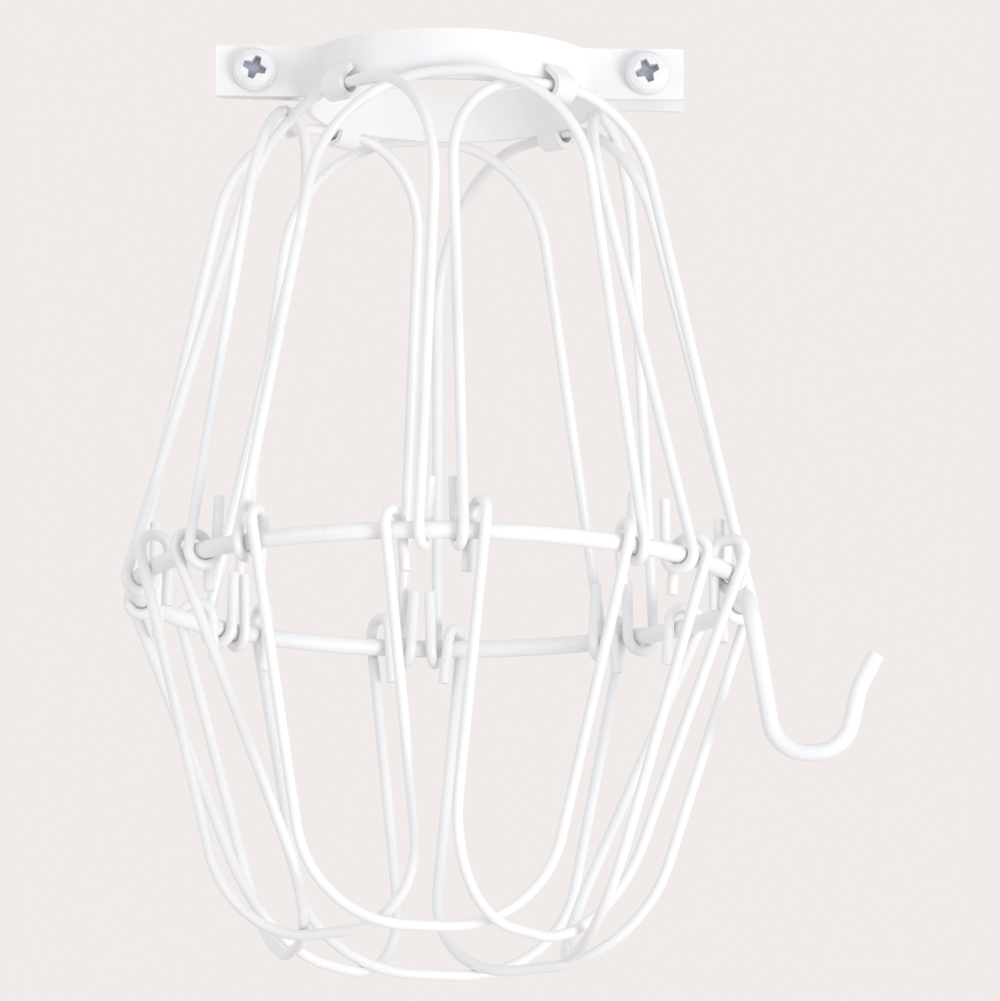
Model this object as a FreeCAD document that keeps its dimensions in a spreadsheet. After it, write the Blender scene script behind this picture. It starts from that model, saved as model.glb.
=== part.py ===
import FreeCAD, Part
import math
import os
import Sketcher

# Bulb cage guard: a wire basket that clamps on a lamp socket and shields the bulb.
# Frame: origin on the collar's axis at half its height, +Z up, front towards -Y, hook at +X.
# Angles of the loops are counted from the front, positive towards +X.

V = FreeCAD.Vector
LOOP_COUNT = 8
LOOP_STEP = 360 / LOOP_COUNT
os.makedirs("parts", exist_ok=True)
doc = FreeCAD.newDocument("BulbCageGuard")

# Driving sizes, in millimetres and degrees
SIZES = {
    "collar_bore_diameter": 51.0,
    "sheet_thickness": 1.1,
    "band_height": 9.5,
    "front_ear_offset": 10.5,
    "rear_ear_offset": -4.9,
    "rear_half_turn": 5.7,
    "ear_bend_radius": 3.0,
    "ear_flat_length": 13.45,
    "hole_edge_distance": 6.8,
    "tab_width": 4.8,
    "tab_eye_radius": 1.6,
    "tab_lip_length": 2.9,
    "tab_lip_angle": 45.0,
    "wire_diameter": 2.0,
    "ring_wire_diameter": 3.2,
    "ring_diameter": 112.0,
    "ring_drop": 95.1,
    "cage_lean_angle": 0.45,
    "wire_clearance": 0.15,
    "tab_bow_weave": 2.15,
    "free_bow_weave": 3.0,
    "ear_bow_weave": 2.6,
    "lower_weave": 2.15,
    "upper_bow_fill": 0.95,
    "lower_bow_fill": 0.85,
    "upper_free_span": 38.8,
    "upper_free_shoulder": 22.4,
    "upper_front_left_shoulder": 21.8,
    "upper_front_right_shoulder": 23.0,
    "upper_wide_shoulder": 31.5,
    "upper_tight_shoulder": 23.6,
    "upper_rear_wide_shoulder": 38.0,
    "upper_rear_tight_shoulder": 17.8,
    "upper_rear_wide_angle": 45.6,
    "upper_rear_tight_angle": 37.8,
    "upper_inner_span": 41.0,
    "upper_outer_span": 33.3,
    "upper_outer_shoulder": 22.0,
    "upper_break_shoulder": 16.3,
    "upper_back_span": 31.0,
    "upper_side_angle": 47.8,
    "upper_spread_angle": 41.8,
    "upper_back_left_shoulder": 15.0,
    "upper_back_right_shoulder": 28.0,
    "upper_break_span": 25.3,
    "tab_bow_lift": 0.2,
    "free_bow_lift": 1.1,
    "free_bow_outset": 0.3,
    "ear_bow_outset": 0.45,
    "upper_tail_length": 10.3,
    "upper_tail_aside": 1.1,
    "lower_span": 35.0,
    "lower_shoulder": 22.6,
    "lower_wide_shoulder": 28.5,
    "lower_narrow_shoulder": 19.0,
    "lower_front_span": 37.0,
    "lower_break_span": 21.5,
    "lower_bend_span": 29.5,
    "lower_back_angle": 41.2,
    "lower_rear_angle": 32.3,
    "lower_bow_reach": 25.7,
    "basket_depth": 67.1,
    "lower_tail_length": 7.0,
    "lower_tail_aside": 1.9,
    "lower_tight_slack": 0.9,
    "lower_loose_slack": 2.8,
    "tail_flare_share": 0.5,
    "ring_end_angle": 76.0,
    "ring_bend_angle": 95.0,
    "hook_bend_radius": 6.0,
    "hook_bow_radius": 7.0,
    "hook_drop": 29.9,
    "hook_mouth": 12.7,
    "hook_lean": 5.2,
    "hook_rise": 12.2,
    "hook_tip_flare": 3.1,
    "hook_tip_height": 6.2,
    "screw_diameter": 4.0,
    "screw_length": 16.0,
    "screw_head_diameter": 8.0,
    "screw_head_height": 3.0,
    "screw_recess_width": 4.4,
    "screw_recess_depth": 1.9,
    "screw_slot_width": 1.15,
    "screw_core_share": 1.5,
    "screw_recess_taper": 8.0,
    "screw_rim_share": 0.45,
    "screw_crown_share": 0.86,
    "screw_crown_rise_share": 0.8,
    "screw_top_share": 0.6,
    "screw_point_share": 0.8,
    "screw_point_length": 0.6,
    "screw_turn": 20.0,
    "screw_hole_clearance": 1.0,
    "nut_width": 7.0,
    "nut_height": 3.2,
    "fit_clearance": 0.1,
}


def make_sheet():
    """Table of the driving sizes, one alias per row."""
    table = doc.addObject("Spreadsheet::Sheet", "Sizes")
    for row, (name, value) in enumerate(SIZES.items(), start=1):
        table.set(f"A{row}", name)
        table.set(f"B{row}", str(value))
        table.setAlias(f"B{row}", name)
    doc.recompute()
    return table


sheet = make_sheet()


def size(name):
    """Value of a driving size."""
    return float(sheet.get(name))


# Sizes that follow from the driving ones
def band_outer_radius():
    return size("collar_bore_diameter") / 2 + size("sheet_thickness")


def wire_radius():
    return size("wire_diameter") / 2


def worth(text):
    """Number that an expression on the table of sizes gives."""
    return float(sheet.evalExpression(text))


# The ears of both halves end together, one flat length beyond the rear half's bend.
EAR_REACH = (
    "sqrt((Sizes.collar_bore_diameter / 2 + Sizes.sheet_thickness + Sizes.ear_bend_radius)^2"
    " - (Sizes.rear_ear_offset + Sizes.sheet_thickness / 2 + Sizes.ear_bend_radius)^2)"
    " + Sizes.ear_flat_length"
)
HOLE_REACH = EAR_REACH + " - Sizes.hole_edge_distance"


def ring_grip():
    """Distance between the ring wire's centre and a loop wire bent round it."""
    return size("ring_wire_diameter") / 2 + wire_radius() + size("wire_clearance")


def leaned(point):
    """The cage leans a little to the left under its collar."""
    return V(point.x + point.z * math.tan(math.radians(size("cage_lean_angle"))), point.y, point.z)


def ring_level():
    return -size("ring_drop")


def band_lower_edge():
    return -size("band_height") / 2


def tab_eye_reach():
    """Distance from the axis to the middle of a tab's eye."""
    return band_outer_radius() + size("tab_eye_radius")


def weave_slope(reach, offset_name):
    """Sideways slope that lifts a bow over one neighbour and under the other."""
    return size(offset_name) / (reach * math.tan(math.radians(LOOP_STEP / 2)))


# Bent wires: straight runs joined by tangent arcs
def tangent_arc(before, corner, after, radius):
    """Arc of the given radius that rounds one corner of a path, with its two ends."""
    back = (before - corner).normalize()
    ahead = (after - corner).normalize()
    opening = back.getAngle(ahead)
    reach = radius / math.tan(opening / 2)
    start = corner + back * reach
    end = corner + ahead * reach
    middle_way = (back + ahead).normalize()
    middle = corner + middle_way * (radius / math.sin(opening / 2) - radius)
    return start, end, Part.Arc(start, middle, end)


def bent_wire(points, radii):
    """Wire through the points, with each inner point rounded by its radius."""
    edges = []
    place = points[0]
    for index in range(1, len(points) - 1):
        corner = points[index]
        start, end, arc = tangent_arc(points[index - 1], corner, points[index + 1], radii[index - 1])
        if place.distanceToPoint(start) > 0.001:
            edges.append(Part.LineSegment(place, start).toShape())
        edges.append(arc.toShape())
        place = end
    edges.append(Part.LineSegment(place, points[-1]).toShape())
    return edges


def sweep_wire(name, edges, diameter_name):
    """Round wire along a path; the path and the section are kept beside it."""
    path = doc.addObject("Part::Feature", name + "_path")
    path.Shape = Part.Wire(edges)
    section = doc.addObject("Part::Circle", name + "_section")
    section.setExpression("Radius", f"Sizes.{diameter_name} / 2")
    first = edges[0]
    heading = first.tangentAt(first.FirstParameter)
    section.Placement = FreeCAD.Placement(
        first.valueAt(first.FirstParameter), FreeCAD.Rotation(V(0, 0, 1), heading)
    )
    wire = doc.addObject("Part::Sweep", name)
    wire.Sections = [section]
    wire.Spine = (path, [f"Edge{number + 1}" for number in range(len(edges))])
    wire.Solid = True
    wire.Frenet = False
    wire.Label = name
    return wire


def end_curl(shoulder, angle, rise, slack, tail, aside):
    """Corners of a wire end bent round the ring, seen from the loop's shoulder.

    rise is +1 for a loop that stands on the ring and -1 for one that hangs under it.
    The tail stands upright inside the ring, aside of its leg and away from the loop's middle.
    """
    grip = ring_grip()
    ring_radius = size("ring_diameter") / 2
    level = ring_level()
    turn = math.radians(angle)
    outward = V(math.sin(turn), -math.cos(turn), 0)
    sideways = V(math.cos(turn), math.sin(turn), 0) * math.copysign(aside, angle)
    shoulder_reach = shoulder.dot(outward)
    lean = math.atan((ring_radius + grip - shoulder_reach) / abs(shoulder.z - level))
    outer = ring_radius + (grip * (1 + math.sin(lean)) + slack * math.sin(lean)) / math.cos(lean)
    turning = V(0, 0, level - rise * (grip + slack))
    tail_foot = turning + outward * (ring_radius - grip) + sideways
    tail_way = V(0, 0, rise)
    tail_flare = sideways * size("tail_flare_share")
    tail_end = tail_foot + tail_way * (tail + grip + slack) + tail_flare
    return [turning + outward * outer, tail_foot, tail_end]


def bow_radius(before, corner, after, reach):
    """Radius of the arc that leaves a corner's two sides at the given reach."""
    return reach * math.tan((before - corner).getAngle(after - corner) / 2)


def loop_edges(centre, shoulders, bow_reaches, reach, level, slope, angles, rise, slacks, tail, aside):
    """Path of one loop: tail, curl, leg, bow, leg, curl, tail; turned to its angle.

    Shoulders, bow reaches, angles and slacks are given for the left and the right side,
    seen from outside.
    """
    left = V(-shoulders[0], -reach + slope * shoulders[0], level)
    right = V(shoulders[1], -reach - slope * shoulders[1], level)
    left_curl = end_curl(left, -angles[0], rise, slacks[0], tail, aside)
    right_curl = end_curl(right, angles[1], rise, slacks[1], tail, aside)
    left_bow = bow_radius(left_curl[0], left, right, bow_reaches[0])
    right_bow = bow_radius(left, right, right_curl[0], bow_reaches[1])
    curl = ring_grip() - size("wire_clearance") / 2
    points = list(reversed(left_curl)) + [left, right] + right_curl
    radii = [curl, curl, left_bow, right_bow, curl, curl]
    turn = FreeCAD.Rotation(V(0, 0, 1), centre)
    return bent_wire([leaned(turn.multVec(point)) for point in points], radii)


def bow_seat(number):
    """Height of an upper bow over the band's lower edge, its shift outwards and its weave.

    Tabs carry every other bow. Of the rest, the front and back ones ride over them
    and the side ones pass under the ears.
    """
    if number % 2 == 1:
        return size("tab_bow_lift"), 0, "tab_bow_weave"
    if number % 4 == 0:
        return size("free_bow_lift"), size("free_bow_outset"), "free_bow_weave"
    drop = wire_radius() + 2 * size("wire_clearance")
    return -drop, size("ear_bow_outset"), "ear_bow_weave"


# Each side of a loop is its number and -1 for left, 1 for right, seen from outside.
UPPER_ANGLES = {
    (1, 1): "upper_break_span",
    (2, 1): "upper_side_angle",
    (4, 1): "upper_spread_angle",
    (6, -1): "upper_spread_angle",
    (3, -1): "upper_outer_span",
    (4, -1): "upper_back_span",
    (5, 1): "upper_outer_span",
    (7, -1): "upper_outer_span",
    (1, -1): "upper_inner_span",
    (3, 1): "upper_rear_wide_angle",
    (5, -1): "upper_rear_tight_angle",
    (7, 1): "upper_inner_span",
}
UPPER_SHOULDERS = {
    (0, -1): "upper_front_left_shoulder",
    (0, 1): "upper_front_right_shoulder",
    (1, -1): "upper_tight_shoulder",
    (1, 1): "upper_break_shoulder",
    (3, -1): "upper_outer_shoulder",
    (3, 1): "upper_rear_wide_shoulder",
    (4, -1): "upper_back_left_shoulder",
    (4, 1): "upper_back_right_shoulder",
    (5, -1): "upper_rear_tight_shoulder",
    (5, 1): "upper_outer_shoulder",
    (7, -1): "upper_outer_shoulder",
    (7, 1): "upper_wide_shoulder",
}
LOWER_ANGLES = {
    (1, -1): "lower_front_span",
    (1, 1): "lower_break_span",
    (7, -1): "lower_break_span",
    (3, -1): "lower_bend_span",
    (5, 1): "lower_bend_span",
    (3, 1): "lower_back_angle",
    (5, -1): "lower_rear_angle",
}
LOWER_SHOULDERS = {
    (0, 1): "lower_narrow_shoulder",
    (7, 1): "lower_narrow_shoulder",
    (1, -1): "lower_wide_shoulder",
}
LOOSE_CURLS = ((0, -1), (1, -1), (1, 1), (4, 1), (5, -1), (7, -1))


def side_sizes(number, side, angles, usual_angle, shoulders, usual_shoulder):
    """Angle and shoulder of one side of a loop, by name where it isn't the usual one."""
    angle = angles.get((number, side), usual_angle)
    shoulder = shoulders.get((number, side), usual_shoulder)
    return size(angle), size(shoulder)


def upper_side(number, side):
    return side_sizes(
        number, side, UPPER_ANGLES, "upper_free_span", UPPER_SHOULDERS, "upper_free_shoulder"
    )


def lower_side(number, side):
    return side_sizes(number, side, LOWER_ANGLES, "lower_span", LOWER_SHOULDERS, "lower_shoulder")


def free_bow_reaches(left_shoulder, right_shoulder, share_name):
    """How far the rounding of each shoulder runs along a free bow."""
    reach = size(share_name) * (left_shoulder + right_shoulder) / 2
    return reach, reach


def held_bow_reaches(left_shoulder, right_shoulder, share_name):
    """The same for a bow whose middle lies straight in a tab."""
    share = size(share_name)
    reach, _ = free_bow_reaches(left_shoulder, right_shoulder, share_name)
    return min(reach, share * left_shoulder), min(reach, share * right_shoulder)


def upper_loop(name, number):
    """Loop between the collar and the ring, held by a tab or by its two neighbours."""
    lift, outset, weave = bow_seat(number)
    reach = tab_eye_reach() + outset
    left_angle, left_shoulder = upper_side(number, -1)
    right_angle, right_shoulder = upper_side(number, 1)
    rounding = held_bow_reaches if number % 2 == 1 else free_bow_reaches
    edges = loop_edges(
        LOOP_STEP * number,
        (left_shoulder, right_shoulder),
        rounding(left_shoulder, right_shoulder, "upper_bow_fill"),
        reach,
        band_lower_edge() + lift,
        weave_slope(reach, weave),
        (left_angle, right_angle),
        1,
        (0, 0),
        size("upper_tail_length"),
        size("upper_tail_aside"),
    )
    return sweep_wire(name, edges, "wire_diameter")


def lower_slack(number, side):
    """Air over the ring in the curl of a lower loop; some are closed less than others."""
    if (number, side) in LOOSE_CURLS:
        return size("lower_loose_slack")
    return size("lower_tight_slack")


def lower_loop(name, number):
    """Loop of the basket under the ring."""
    reach = size("lower_bow_reach")
    left_angle, left_shoulder = lower_side(number, -1)
    right_angle, right_shoulder = lower_side(number, 1)
    edges = loop_edges(
        LOOP_STEP * number,
        (left_shoulder, right_shoulder),
        free_bow_reaches(left_shoulder, right_shoulder, "lower_bow_fill"),
        reach,
        ring_level() - size("basket_depth"),
        -weave_slope(reach, "lower_weave"),
        (left_angle, right_angle),
        -1,
        (lower_slack(number, -1), lower_slack(number, 1)),
        size("lower_tail_length"),
        size("lower_tail_aside"),
    )
    return sweep_wire(name, edges, "wire_diameter")


def waist_ring(name):
    """Heavy ring whose one end turns down into the hanging hook."""
    radius = size("ring_diameter") / 2
    level = ring_level()
    first = math.radians(size("ring_end_angle"))
    last = math.radians(size("ring_bend_angle"))
    half_turn = first - (2 * math.pi - (last - first)) / 2
    start = leaned(V(radius * math.sin(first), -radius * math.cos(first), level))
    middle = leaned(V(radius * math.sin(half_turn), -radius * math.cos(half_turn), level))
    end = leaned(V(radius * math.sin(last), -radius * math.cos(last), level))
    heading = V(-math.cos(last), -math.sin(last), 0)
    ring_arc = Part.Arc(start, middle, end).toShape()
    lean = size("hook_lean")
    drop = size("hook_drop")
    shank_way = V(lean, 0, -drop).normalize()
    bend = size("hook_bend_radius")
    run = bend * math.tan(heading.getAngle(shank_way) / 2)
    knee = end + heading * run
    shank_foot = knee + V(lean, 0, -drop)
    riser_foot = shank_foot + V(size("hook_mouth"), 0, 0)
    riser_top = riser_foot + V(size("hook_lean") / 2, 0, size("hook_rise"))
    tip = riser_top + V(size("hook_tip_flare"), 0, size("hook_tip_height"))
    bow = size("hook_bow_radius")
    points = [end, knee, shank_foot, riser_foot, riser_top, tip]
    hook_edges = bent_wire(points, [bend, bow, bow, bow])
    return sweep_wire(name, [ring_arc] + hook_edges, "ring_wire_diameter")


# Collar halves: pressed strip, bent ears and curled tabs
def new_body(name):
    body = doc.addObject("PartDesign::Body", name)
    body.Label = name
    return body


def origin_plane(body, role):
    for feature in body.Origin.OriginFeatures:
        if feature.Role == role:
            return feature
    raise ValueError(role)


def new_sketch(body, role, name):
    sketch = body.newObject("Sketcher::SketchObject", name)
    sketch.AttachmentSupport = [(origin_plane(body, role), "")]
    sketch.MapMode = "FlatFace"
    return sketch


def bind(sketch, constraint, expression):
    """Add one driving dimension and tie it to the table of sizes."""
    index = sketch.addConstraint(constraint)
    sketch.setExpression(f"Constraints[{index}]", expression)


def arc_of(centre, radius, first, last):
    circle = Part.Circle(centre, V(0, 0, 1), radius)
    return Part.ArcOfCircle(circle, math.radians(first), math.radians(last))


def pad(body, sketch, name, expression, symmetric):
    feature = body.newObject("PartDesign::Pad", name)
    feature.Profile = sketch
    feature.setExpression("Length", expression)
    if symmetric:
        feature.SideType = "Symmetric"
    return feature


def half_collar_outline(sketch, offset_name):
    """Right half of the strip seen from above: band, bend and ear."""
    inner = size("collar_bore_diameter") / 2
    thick = size("sheet_thickness")
    outer = inner + thick
    bend = size("ear_bend_radius")
    face = size(offset_name) + thick / 2
    centre = V(math.sqrt((outer + bend) ** 2 - (face + bend) ** 2), face + bend, 0)
    turn = math.degrees(math.atan2(centre.x, centre.y))
    reach = worth(EAR_REACH)
    sketch.addGeometry(arc_of(V(0, 0, 0), inner, 90 - turn, 90))
    sketch.addGeometry(arc_of(V(0, 0, 0), outer, 90 - turn, 90))
    sketch.addGeometry(arc_of(centre, bend, 270 - turn, 270))
    sketch.addGeometry(arc_of(centre, bend + thick, 270 - turn, 270))
    sketch.addGeometry(Part.LineSegment(V(centre.x, face, 0), V(reach, face, 0)))
    sketch.addGeometry(Part.LineSegment(V(centre.x, face - thick, 0), V(reach, face - thick, 0)))
    sketch.addGeometry(Part.LineSegment(V(reach, face - thick, 0), V(reach, face, 0)))
    sketch.addGeometry(Part.LineSegment(V(0, inner, 0), V(0, outer, 0)))
    add = sketch.addConstraint
    add(Sketcher.Constraint("Coincident", 0, 3, -1, 1))
    add(Sketcher.Constraint("Coincident", 1, 3, -1, 1))
    add(Sketcher.Constraint("Coincident", 0, 2, 7, 1))
    add(Sketcher.Constraint("Coincident", 1, 2, 7, 2))
    add(Sketcher.Constraint("PointOnObject", 7, 1, -2))
    add(Sketcher.Constraint("PointOnObject", 7, 2, -2))
    add(Sketcher.Constraint("Tangent", 0, 1, 3, 1))
    add(Sketcher.Constraint("Tangent", 1, 1, 2, 1))
    add(Sketcher.Constraint("Tangent", 2, 2, 4, 1))
    add(Sketcher.Constraint("Tangent", 3, 2, 5, 1))
    add(Sketcher.Constraint("Coincident", 4, 2, 6, 2))
    add(Sketcher.Constraint("Coincident", 5, 2, 6, 1))
    add(Sketcher.Constraint("Horizontal", 4))
    add(Sketcher.Constraint("Horizontal", 5))
    add(Sketcher.Constraint("Vertical", 6))
    bind(sketch, Sketcher.Constraint("Radius", 0, inner), "Sizes.collar_bore_diameter / 2")
    bind(sketch, Sketcher.Constraint("Radius", 1, outer),
         "Sizes.collar_bore_diameter / 2 + Sizes.sheet_thickness")
    bind(sketch, Sketcher.Constraint("Radius", 2, bend), "Sizes.ear_bend_radius")
    bind(sketch, Sketcher.Constraint("Radius", 3, bend + thick),
         "Sizes.ear_bend_radius + Sizes.sheet_thickness")
    bind(sketch, Sketcher.Constraint("DistanceY", -1, 1, 4, 1, face),
         f"Sizes.{offset_name} + Sizes.sheet_thickness / 2")
    bind(sketch, Sketcher.Constraint("DistanceX", -1, 1, 6, 1, reach), EAR_REACH)


def tab_outline(sketch):
    """Hook section of a tab: down from the band's lower edge, out and up, with its lip bent in."""
    outer = band_outer_radius()
    thick = size("sheet_thickness")
    eye = size("tab_eye_radius")
    low = band_lower_edge()
    lean = size("tab_lip_angle")
    turn = math.radians(lean)
    centre = V(outer + eye, low, 0)
    away = V(math.cos(turn), math.sin(turn), 0)
    along = V(-math.sin(turn), math.cos(turn), 0) * size("tab_lip_length")
    inner_foot = centre + away * eye
    outer_foot = centre + away * (eye + thick)
    sketch.addGeometry(arc_of(centre, eye, 180, 360 + lean))
    sketch.addGeometry(arc_of(centre, eye + thick, 180, 360 + lean))
    sketch.addGeometry(Part.LineSegment(V(outer - thick, low, 0), V(outer, low, 0)))
    sketch.addGeometry(Part.LineSegment(inner_foot, inner_foot + along))
    sketch.addGeometry(Part.LineSegment(outer_foot, outer_foot + along))
    sketch.addGeometry(Part.LineSegment(inner_foot + along, outer_foot + along))
    add = sketch.addConstraint
    add(Sketcher.Constraint("Coincident", 0, 3, 1, 3))
    add(Sketcher.Constraint("Coincident", 0, 1, 2, 2))
    add(Sketcher.Constraint("Coincident", 1, 1, 2, 1))
    add(Sketcher.Constraint("Horizontal", 2))
    add(Sketcher.Constraint("Tangent", 0, 2, 3, 1))
    add(Sketcher.Constraint("Tangent", 1, 2, 4, 1))
    add(Sketcher.Constraint("Coincident", 3, 2, 5, 1))
    add(Sketcher.Constraint("Coincident", 4, 2, 5, 2))
    add(Sketcher.Constraint("Perpendicular", 3, 5))
    bind(sketch, Sketcher.Constraint("Angle", 3, math.radians(90 + lean)), "90 + Sizes.tab_lip_angle")
    bind(sketch, Sketcher.Constraint("Radius", 0, eye), "Sizes.tab_eye_radius")
    bind(sketch, Sketcher.Constraint("Radius", 1, eye + thick),
         "Sizes.tab_eye_radius + Sizes.sheet_thickness")
    bind(sketch, Sketcher.Constraint("DistanceX", -1, 1, 2, 2, outer),
         "Sizes.collar_bore_diameter / 2 + Sizes.sheet_thickness")
    bind(sketch, Sketcher.Constraint("DistanceY", 2, 2, -1, 1, -low), "Sizes.band_height / 2")
    bind(sketch, Sketcher.Constraint("Distance", 3, size("tab_lip_length")), "Sizes.tab_lip_length")


def ear_hole(sketch):
    radius = (size("screw_diameter") + size("screw_hole_clearance")) / 2
    reach = worth(HOLE_REACH)
    sketch.addGeometry(Part.Circle(V(reach, 0, 0), V(0, 0, 1), radius))
    sketch.addConstraint(Sketcher.Constraint("PointOnObject", 0, 3, -1))
    bind(sketch, Sketcher.Constraint("DistanceX", -1, 1, 0, 3, reach), HOLE_REACH)
    bind(sketch, Sketcher.Constraint("Radius", 0, radius),
         "(Sizes.screw_diameter + Sizes.screw_hole_clearance) / 2")


def half_collar(name, offset_name, turn, tab_angles):
    """One half of the collar, drawn at the back and turned to its side."""
    body = new_body(name)
    outline = new_sketch(body, "XY_Plane", name + "_outline")
    half_collar_outline(outline, offset_name)
    strip = pad(body, outline, name + "_strip", "Sizes.band_height", True)
    circle = new_sketch(body, "XZ_Plane", name + "_hole_outline")
    ear_hole(circle)
    hole = body.newObject("PartDesign::Pocket", name + "_hole")
    hole.Profile = circle
    hole.SideType = "Symmetric"
    hole.Type = "ThroughAll"
    mirrored = body.newObject("PartDesign::Mirrored", name + "_mirrored")
    mirrored.Originals = [strip, hole]
    mirrored.MirrorPlane = (origin_plane(body, "YZ_Plane"), [""])
    body.Tip = mirrored
    for number, angle in enumerate(tab_angles, start=1):
        section = new_sketch(body, "XZ_Plane", f"{name}_tab_{number}_outline")
        swing = FreeCAD.Rotation(V(0, 1, 0), angle - 90 - turn)
        section.AttachmentOffset = FreeCAD.Placement(V(0, 0, 0), swing)
        tab_outline(section)
        body.Tip = pad(body, section, f"{name}_tab_{number}", "Sizes.tab_width", True)
    body.Placement = FreeCAD.Placement(V(0, 0, 0), FreeCAD.Rotation(V(0, 0, 1), turn))
    return body


# Clamp screws and nuts
def rear_hole(side):
    """Middle of a rear ear's hole, with the rear half turned to its place."""
    swing = FreeCAD.Rotation(V(0, 0, 1), size("rear_half_turn"))
    return swing.multVec(V(side * worth(HOLE_REACH), size("rear_ear_offset"), 0))


def screw_place(side):
    """Sideways place of a screw, half way between the holes of its two ears."""
    return (side * worth(HOLE_REACH) + rear_hole(side).x) / 2


def closed_outline(sketch, corners):
    """Closed outline whose corners, given as expressions, are tied to the table of sizes.

    An empty expression puts the corner on that axis.
    """
    points = []
    for across, along in corners:
        points.append(V(worth(across) if across else 0, worth(along) if along else 0, 0))
    count = len(points)
    for index in range(count):
        sketch.addGeometry(Part.LineSegment(points[index], points[(index + 1) % count]))
    for index in range(count):
        sketch.addConstraint(Sketcher.Constraint("Coincident", index, 2, (index + 1) % count, 1))
    for index, (across, along) in enumerate(corners):
        point = points[index]
        if across:
            bind(sketch, Sketcher.Constraint("DistanceX", -1, 1, index, 1, point.x), across)
        else:
            sketch.addConstraint(Sketcher.Constraint("PointOnObject", index, 1, -2))
        if along:
            bind(sketch, Sketcher.Constraint("DistanceY", -1, 1, index, 1, point.y), along)
        else:
            sketch.addConstraint(Sketcher.Constraint("PointOnObject", index, 1, -1))


def revolve(body, sketch, name):
    feature = body.newObject("PartDesign::Revolution", name)
    feature.Profile = sketch
    feature.ReferenceAxis = (sketch, ["V_Axis"])
    feature.Angle = 360.0
    return feature


def screw_outline(sketch):
    """Half section of a pan head screw, head up."""
    shank = "Sizes.screw_diameter / 2"
    head = "Sizes.screw_head_diameter / 2"
    rise = "Sizes.screw_head_height"
    closed_outline(sketch, [
        ("", rise),
        ("", "-Sizes.screw_length"),
        (shank + " * Sizes.screw_point_share", "-Sizes.screw_length"),
        (shank, "Sizes.screw_point_length - Sizes.screw_length"),
        (shank, ""),
        (head, ""),
        (head, rise + " * Sizes.screw_rim_share"),
        (head + " * Sizes.screw_crown_share", rise + " * Sizes.screw_crown_rise_share"),
        (head + " * Sizes.screw_top_share", rise),
    ])


def cross_outline(sketch):
    """Outline of the cross recess, widened where its slots meet."""
    end = "Sizes.screw_recess_width / 2"
    side = "Sizes.screw_slot_width / 2"
    core = "Sizes.screw_slot_width / 2 * Sizes.screw_core_share"
    closed_outline(sketch, [
        (end, "-" + side),
        (end, side),
        (core, core),
        (side, end),
        ("-" + side, end),
        ("-" + core, core),
        ("-" + end, side),
        ("-" + end, "-" + side),
        ("-" + core, "-" + core),
        ("-" + side, "-" + end),
        (side, "-" + end),
        (core, "-" + core),
    ])


def clamp_screw(name, side):
    """Pan head screw with a cross recess; head at the front, shank towards the back."""
    body = new_body(name)
    section = new_sketch(body, "XZ_Plane", name + "_outline")
    screw_outline(section)
    revolve(body, section, name + "_turned")
    cross = new_sketch(body, "XY_Plane", name + "_cross")
    cross.AttachmentOffset = FreeCAD.Placement(V(0, 0, size("screw_head_height")), FreeCAD.Rotation())
    cross.setExpression("AttachmentOffset.Base.z", "Sizes.screw_head_height")
    cross_outline(cross)
    recess = body.newObject("PartDesign::Pocket", name + "_recess")
    recess.Profile = cross
    recess.setExpression("Length", "Sizes.screw_recess_depth")
    recess.setExpression("TaperAngle", "-Sizes.screw_recess_taper")
    body.Tip = recess
    front = size("front_ear_offset") + size("sheet_thickness") / 2 + size("fit_clearance")
    place = V(screw_place(side), -front, 0)
    lay = FreeCAD.Rotation(V(1, 0, 0), 90)
    twist = FreeCAD.Rotation(V(0, 0, 1), size("screw_turn") * side)
    body.Placement = FreeCAD.Placement(place, lay.multiply(twist))
    return body


def clamp_nut(name, side):
    """Hexagon nut behind the rear ear."""
    body = new_body(name)
    hexagon = new_sketch(body, "XY_Plane", name + "_outline")
    corners = []
    for index in range(6):
        lateral = f"Sizes.nut_width / sqrt(3) * cos({60 * index})"
        forward = f"Sizes.nut_width / sqrt(3) * sin({60 * index})"
        if index in (0, 3):
            forward = ""
        corners.append((lateral, forward))
    closed_outline(hexagon, corners)
    pad(body, hexagon, name + "_block", "Sizes.nut_height", False)
    bore = new_sketch(body, "XY_Plane", name + "_bore_outline")
    radius = size("screw_diameter") / 2 + size("fit_clearance")
    bore.addGeometry(Part.Circle(V(0, 0, 0), V(0, 0, 1), radius))
    bore.addConstraint(Sketcher.Constraint("Coincident", 0, 3, -1, 1))
    bind(bore, Sketcher.Constraint("Radius", 0, radius),
         "Sizes.screw_diameter / 2 + Sizes.fit_clearance")
    hole = body.newObject("PartDesign::Pocket", name + "_bore")
    hole.Profile = bore
    hole.SideType = "Symmetric"
    hole.Type = "ThroughAll"
    body.Tip = hole
    tilt = size("nut_width") / math.sqrt(3) * math.sin(math.radians(size("rear_half_turn")))
    rear = rear_hole(side).y + size("sheet_thickness") / 2 + tilt + size("fit_clearance")
    place = V(screw_place(side), rear, 0)
    body.Placement = FreeCAD.Placement(place, FreeCAD.Rotation(V(1, 0, 0), -90))
    return body


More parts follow.
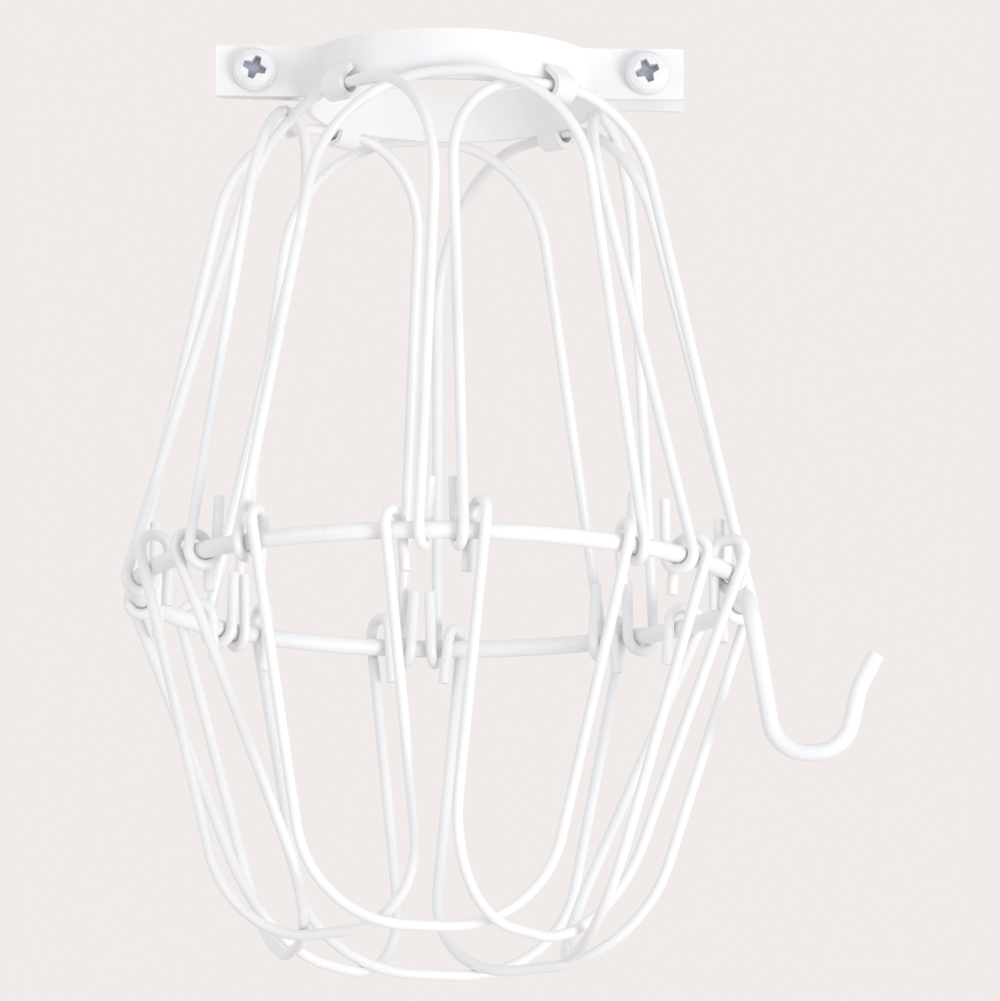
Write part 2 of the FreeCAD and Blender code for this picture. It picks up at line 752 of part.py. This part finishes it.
def build():
    """All the pieces of the guard."""
    pieces = []
    rear_turn = size("rear_half_turn")
    pieces.append(half_collar("collar_front", "front_ear_offset", 180, (-LOOP_STEP, LOOP_STEP)))
    pieces.append(half_collar("collar_rear", "rear_ear_offset", rear_turn, (-3 * LOOP_STEP, 3 * LOOP_STEP)))
    pieces.append(waist_ring("waist_ring"))
    for number in range(LOOP_COUNT):
        pieces.append(upper_loop(f"upper_loop_{number + 1}", number))
    for number in range(LOOP_COUNT):
        pieces.append(lower_loop(f"lower_loop_{number + 1}", number))
    pieces.append(clamp_screw("screw_left", -1))
    pieces.append(clamp_screw("screw_right", 1))
    pieces.append(clamp_nut("nut_left", -1))
    pieces.append(clamp_nut("nut_right", 1))
    return pieces


pieces = build()
doc.recompute()

for item in doc.Objects:
    if "Invalid" in item.State or "Error" in item.State:
        raise RuntimeError(f"{item.Label} did not build: {item.State}")
for piece in pieces:
    if piece.Shape.isNull() or not piece.Shape.isValid():
        raise RuntimeError(f"{piece.Label} has no valid shape")
    if len(piece.Shape.Solids) != 1:
        raise RuntimeError(f"{piece.Label} is not one solid")
for piece in pieces:
    piece.Shape.exportStep(f"parts/{piece.Label}.step")
    print(piece.Label, round(piece.Shape.Volume, 1))
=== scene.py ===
import math

import bpy
from mathutils import Matrix, Vector


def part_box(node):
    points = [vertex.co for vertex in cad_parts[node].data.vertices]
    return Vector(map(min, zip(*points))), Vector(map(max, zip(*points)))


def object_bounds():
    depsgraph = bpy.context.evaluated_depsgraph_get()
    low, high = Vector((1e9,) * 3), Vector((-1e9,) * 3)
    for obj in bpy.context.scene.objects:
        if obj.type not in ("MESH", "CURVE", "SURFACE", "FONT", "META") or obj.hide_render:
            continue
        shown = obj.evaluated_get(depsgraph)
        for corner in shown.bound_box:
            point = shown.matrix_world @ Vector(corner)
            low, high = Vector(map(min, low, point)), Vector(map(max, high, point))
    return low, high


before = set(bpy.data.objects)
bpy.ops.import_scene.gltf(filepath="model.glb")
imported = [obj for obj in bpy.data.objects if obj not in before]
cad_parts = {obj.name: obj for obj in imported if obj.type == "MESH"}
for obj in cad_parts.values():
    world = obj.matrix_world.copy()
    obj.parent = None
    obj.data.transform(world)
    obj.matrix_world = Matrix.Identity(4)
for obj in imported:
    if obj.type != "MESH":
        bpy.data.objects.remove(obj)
cad_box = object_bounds()
bpy.ops.object.select_all(action="DESELECT")

# The camera stands a little below the guard and looks up at the waist ring.
IMAGE_WIDTH = 1000
IMAGE_HEIGHT = 1001
CAMERA_DISTANCE = 3.0
CAMERA_PITCH = math.radians(11.3)
CAMERA_ROLL = math.radians(0.5)
FOCAL_LENGTH_IN_PIXELS = 16340
RING_CENTRE = Vector((0, 0, -0.0951))
RING_PIXEL = (445.0, 590.6)
SENSOR_WIDTH = 36.0
FAR_CLIP = 60.0

FLOOR_DROP = 3.4
FLOOR_SIZE = 40.0
GROUND_COLOUR = (0.880, 0.831, 0.815, 1.0)
GROUND_DULL = 0.985
GROUND_ROUGHNESS = 0.9
STUDIO_LIGHT = (0.97, 0.985, 1.0, 1.0)
STUDIO_STRENGTH = 0.84

# Each lamp: place, side length in metres and power in watts.
KEY_LAMP = ((1.5, -1.65, -0.8), 1.0, 24.5)
FILL_LAMP = ((-1.6, -1.3, -0.1), 1.3, 4.0)

MILLIMETRE = 0.001

# Sockets of a Mix node that blends colours.
MIX_SHARE, MIX_FIRST, MIX_SECOND = 0, 6, 7
MIX_COLOUR = 2


class Value:
    """One output of a node. Sums and products of values add Math nodes."""

    def __init__(self, finish, socket):
        self.finish = finish
        self.socket = socket

    def math(self, operation, other=0.0):
        return self.finish.node("ShaderNodeMath", {"operation": operation}, {0: self, 1: other})

    def __add__(self, other):
        return self.math("ADD", other)

    __radd__ = __add__

    def __sub__(self, other):
        return self.math("SUBTRACT", other)

    def __rsub__(self, other):
        return self.math("MULTIPLY", -1.0) + other

    def __mul__(self, other):
        return self.math("MULTIPLY", other)

    __rmul__ = __mul__

    def __gt__(self, other):
        return self.math("GREATER_THAN", other)

    def __lt__(self, other):
        return self.math("LESS_THAN", other)


class Finish:
    """A material or world under construction: node() adds any node and gives its output."""

    def __init__(self, holder):
        self.holder = holder
        holder.use_nodes = True
        self.tree = holder.node_tree
        self.tree.nodes.clear()

    def node(self, kind, settings=None, sockets=None, output=0):
        """Adds a node; the one that closes the tree has no output to give."""
        made = self.tree.nodes.new(kind)
        for name, value in (settings or {}).items():
            setattr(made, name, value)
        for key, value in (sockets or {}).items():
            if isinstance(value, Value):
                self.tree.links.new(value.socket, made.inputs[key])
            else:
                made.inputs[key].default_value = value
        return Value(self, made.outputs[output]) if made.outputs else None

    def place(self):
        """Position on the object, in metres."""
        return self.node("ShaderNodeTexCoord", output="Object")

    def axes(self, where):
        """The three coordinates of a position."""
        sockets = {"Vector": where}
        return [self.node("ShaderNodeSeparateXYZ", None, sockets, axis) for axis in "XYZ"]

    def noise(self, where, scale, detail=2.0, roughness=0.5):
        return self.node("ShaderNodeTexNoise", {"noise_dimensions": "3D"}, {
            "Vector": where, "Scale": scale, "Detail": detail, "Roughness": roughness})

    def spread(self, value, low, high, new_low=0.0, new_high=1.0):
        """Value carried from one range to another, held at its ends."""
        return self.node("ShaderNodeMapRange", {"clamp": True}, {
            "Value": value, "From Min": low, "From Max": high,
            "To Min": new_low, "To Max": new_high})

    def blend(self, share, first, second):
        """Colour between two others."""
        sockets = {MIX_SHARE: share, MIX_FIRST: first, MIX_SECOND: second}
        return self.node("ShaderNodeMix", {"data_type": "RGBA"}, sockets, MIX_COLOUR)

    def bump(self, height, strength, distance, under=None):
        """Relief from a height, laid over another relief where one is given."""
        sockets = {"Height": height, "Strength": strength, "Distance": distance}
        if under is not None:
            sockets["Normal"] = under
        return self.node("ShaderNodeBump", None, sockets)

    def close(self, shader, kind="ShaderNodeOutputMaterial"):
        """Joins a shader to the node that closes the tree."""
        self.node(kind, None, {"Surface": shader})
        return self.holder

    def surface(self, **sockets):
        """Closes the material with its surface shader."""
        names = {name.replace("_", " "): value for name, value in sockets.items()}
        return self.close(self.node("ShaderNodeBsdfPrincipled", None, names))


# Finishes
COAT_BRIGHT = (0.90, 0.90, 0.905, 1.0)
COAT_DULL = (0.85, 0.855, 0.87, 1.0)
COAT_WARM = (0.74, 0.66, 0.52, 1.0)
SCREW_BRIGHT = (0.88, 0.88, 0.89, 1.0)
SCREW_DULL = (0.81, 0.82, 0.84, 1.0)
# Colour of the painted shade in the screws' cross recess.
RECESS_PAINTED_SHADE = (0.50, 0.53, 0.60, 1.0)
ZINC_BRIGHT = (0.70, 0.70, 0.71, 1.0)
ZINC_DULL = (0.50, 0.50, 0.52, 1.0)

# Screw heads: the cross recess, with painted shade that is darkest at its depth, and the thread
# behind them.
RECESS_REACH = 2.4 * MILLIMETRE
RECESS_LIP = 0.15 * MILLIMETRE
RECESS_DEPTH = 1.2 * MILLIMETRE
RECESS_SHADE = 0.35
HEAD_DEPTH = 3.2 * MILLIMETRE
THREAD_PITCH = 0.7 * MILLIMETRE

# Grain of each pattern, in cycles per metre.
COAT_CLOUDS = 55.0
COAT_SPECKS = 210.0
COAT_GLOSS = 420.0
COAT_RUNS = 160.0
COAT_PEEL = 900.0
SCREW_CLOUDS = 380.0
SCREW_GLOSS = 700.0
SCREW_GRAIN = 1200.0
ZINC_CLOUDS = 300.0
ZINC_GLOSS = 600.0
ZINC_GRAIN = 1500.0
GROUND_CLOUDS = 1.5

# Detail of a pattern, and how crisp the specks are.
SMOOTH_DETAIL = 1.0
RICH_DETAIL = 3.0
SPECK_CRISPNESS = 0.6

# Part of a pattern's range that shows, and how far the specks tint the coat.
NARROW = (0.35, 0.65)
BROAD = (0.3, 0.7)
PEAKS = (0.66, 0.74)
SPECK_TINT = 0.22

# Lowest and highest roughness.
COAT_ROUGHNESS = (0.32, 0.46)
SCREW_ROUGHNESS = (0.3, 0.45)
ZINC_ROUGHNESS = (0.28, 0.45)

# Each relief: strength and depth.
RUNS_RELIEF = (0.35, 0.25 * MILLIMETRE)
PEEL_RELIEF = (0.25, 0.08 * MILLIMETRE)
THREAD_RELIEF = (0.6, 0.2 * MILLIMETRE)
SCREW_RELIEF = (0.2, 0.06 * MILLIMETRE)
ZINC_RELIEF = (0.2, 0.05 * MILLIMETRE)


def white_coat():
    """Dipped white coat: a little uneven in tone, with an orange-peel surface."""
    coat = Finish(bpy.data.materials.new("white_coat"))
    where = coat.place()
    cloud = coat.spread(coat.noise(where, COAT_CLOUDS, RICH_DETAIL), *NARROW)
    colour = coat.blend(cloud, COAT_DULL, COAT_BRIGHT)
    specks = coat.noise(where, COAT_SPECKS, RICH_DETAIL, SPECK_CRISPNESS)
    tint = coat.spread(specks, *PEAKS, 0.0, SPECK_TINT)
    colour = coat.blend(tint, colour, COAT_WARM)
    roughness = coat.spread(coat.noise(where, COAT_GLOSS), *BROAD, *COAT_ROUGHNESS)
    runs = coat.bump(coat.noise(where, COAT_RUNS, SMOOTH_DETAIL), *RUNS_RELIEF)
    peel = coat.bump(coat.noise(where, COAT_PEEL), *PEEL_RELIEF, runs)
    return coat.surface(Base_Color=colour, Roughness=roughness, Normal=peel,
                        Coat_Weight=0.25, Coat_Roughness=0.2)


def screw_finish(left, right):
    """Whitened steel, with painted shade in the cross recess, darkest at its depth; the screws
    lie along Y.
    """
    screw = Finish(bpy.data.materials.new("screw_white"))
    where = screw.place()
    across, along, up = screw.axes(where)
    face = left[0].y
    recess = None
    for low, high in (left, right):
        middle = (low + high) / 2
        side = across - middle.x
        rise = up - middle.z
        reach = (side * side + rise * rise).math("SQRT")
        within = (reach < RECESS_REACH) * (along > low.y + RECESS_LIP)
        recess = within if recess is None else recess.math("MAXIMUM", within)
    # Painted shade in the cross recess: its share at the head's face, rising to full at the
    # recess's depth.
    painted_shade_depth = screw.spread(along, face, face + RECESS_DEPTH, RECESS_SHADE, 1.0)
    cloud = screw.spread(screw.noise(where, SCREW_CLOUDS, RICH_DETAIL), *NARROW)
    metal = screw.blend(cloud, SCREW_DULL, SCREW_BRIGHT)
    # The recess takes the painted shade colour over the metal.
    colour = screw.blend(recess * painted_shade_depth, metal, RECESS_PAINTED_SHADE)
    roughness = screw.spread(screw.noise(where, SCREW_GLOSS), *BROAD, *SCREW_ROUGHNESS)
    thread = (along * (2 * math.pi / THREAD_PITCH)).math("SINE")
    shank = along > face + HEAD_DEPTH
    ridges = screw.bump(thread * shank, *THREAD_RELIEF)
    grain = screw.bump(screw.noise(where, SCREW_GRAIN), *SCREW_RELIEF, ridges)
    return screw.surface(Base_Color=colour, Roughness=roughness, Normal=grain)


def nut_finish():
    """Bright zinc with a faint bloom."""
    zinc = Finish(bpy.data.materials.new("nut_zinc"))
    where = zinc.place()
    cloud = zinc.spread(zinc.noise(where, ZINC_CLOUDS, RICH_DETAIL), *BROAD)
    colour = zinc.blend(cloud, ZINC_DULL, ZINC_BRIGHT)
    roughness = zinc.spread(zinc.noise(where, ZINC_GLOSS), *BROAD, *ZINC_ROUGHNESS)
    grain = zinc.bump(zinc.noise(where, ZINC_GRAIN), *ZINC_RELIEF)
    return zinc.surface(Base_Color=colour, Roughness=roughness, Normal=grain, Metallic=0.85)


def dress(node, finish):
    """Gives a CAD node its finish."""
    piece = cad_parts[node]
    piece.data.materials.clear()
    piece.data.materials.append(finish)


# Studio
def ground_finish():
    """Matt pale ground, barely clouded."""
    ground = Finish(bpy.data.materials.new("pale_ground"))
    cloud = ground.spread(ground.noise(ground.place(), GROUND_CLOUDS), *BROAD)
    dull = tuple(GROUND_DULL * part for part in GROUND_COLOUR)
    colour = ground.blend(cloud, GROUND_COLOUR, dull)
    return ground.surface(Base_Color=colour, Roughness=GROUND_ROUGHNESS)


def floor(level):
    """Level ground far under the guard, out of the photograph's frame."""
    bpy.ops.mesh.primitive_plane_add(size=FLOOR_SIZE, location=(0, 0, level))
    plane = bpy.context.object
    bpy.ops.object.transform_apply(location=True, rotation=True, scale=True)
    plane.name = "floor"
    plane.data.materials.append(ground_finish())


def studio_world():
    """Even light; the camera, reflections and clear parts see the pale ground."""
    world = Finish(bpy.data.worlds.new("studio"))
    bpy.context.scene.world = world.holder
    camera, glossy, clear = [
        world.node("ShaderNodeLightPath", output=ray)
        for ray in ("Is Camera Ray", "Is Glossy Ray", "Is Transmission Ray")]
    seen = camera.math("MAXIMUM", glossy).math("MAXIMUM", clear)
    light = world.node("ShaderNodeBackground", None, {
        "Color": STUDIO_LIGHT, "Strength": STUDIO_STRENGTH})
    ground = world.node("ShaderNodeBackground", None, {"Color": GROUND_COLOUR})
    shown = world.node("ShaderNodeMixShader", None, {0: seen, 1: light, 2: ground})
    world.close(shown, "ShaderNodeOutputWorld")


def soft_lamp(name, target, place, size, power):
    """Square lamp that looks at the guard."""
    lamp = bpy.data.lights.new(name, "AREA")
    lamp.shape = "SQUARE"
    lamp.size = size
    lamp.energy = power
    holder = bpy.data.objects.new(name, lamp)
    bpy.context.scene.collection.objects.link(holder)
    holder.location = place
    holder.rotation_euler = (target - Vector(place)).to_track_quat("-Z", "Y").to_euler()


def photo_camera(target):
    """Camera at the photograph's angle, with the ring's centre at its place in the image."""
    forward = Vector((0, math.cos(CAMERA_PITCH), math.sin(CAMERA_PITCH)))
    upright = Vector((0, -math.sin(CAMERA_PITCH), math.cos(CAMERA_PITCH)))
    level = Vector((1, 0, 0))
    right = level * math.cos(CAMERA_ROLL) + upright * math.sin(CAMERA_ROLL)
    up = upright * math.cos(CAMERA_ROLL) - level * math.sin(CAMERA_ROLL)
    aside = (IMAGE_WIDTH / 2 - RING_PIXEL[0]) / FOCAL_LENGTH_IN_PIXELS
    above = (RING_PIXEL[1] - IMAGE_HEIGHT / 2) / FOCAL_LENGTH_IN_PIXELS
    gaze = (forward + right * aside + up * above).normalized()
    right = gaze.cross(up).normalized()
    up = right.cross(gaze)
    data = bpy.data.cameras.new("photo_camera")
    data.sensor_width = SENSOR_WIDTH
    data.lens = SENSOR_WIDTH * FOCAL_LENGTH_IN_PIXELS / max(IMAGE_WIDTH, IMAGE_HEIGHT)
    data.clip_end = FAR_CLIP
    camera = bpy.data.objects.new("photo_camera", data)
    bpy.context.scene.collection.objects.link(camera)
    turn = Matrix((right, up, -gaze)).transposed().to_4x4()
    camera.matrix_world = Matrix.Translation(target - forward * CAMERA_DISTANCE) @ turn
    bpy.context.scene.camera = camera


coat = white_coat()
zinc = nut_finish()
screws = screw_finish(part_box("screw_left"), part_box("screw_right"))
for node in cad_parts:
    if node.startswith("screw"):
        dress(node, screws)
    elif node.startswith("nut"):
        dress(node, zinc)
    else:
        dress(node, coat)

bpy.context.scene.view_settings.view_transform = "Standard"
studio_world()
floor(cad_box[0].z - FLOOR_DROP)
soft_lamp("key_lamp", RING_CENTRE, *KEY_LAMP)
soft_lamp("fill_lamp", RING_CENTRE, *FILL_LAMP)
photo_camera(RING_CENTRE)
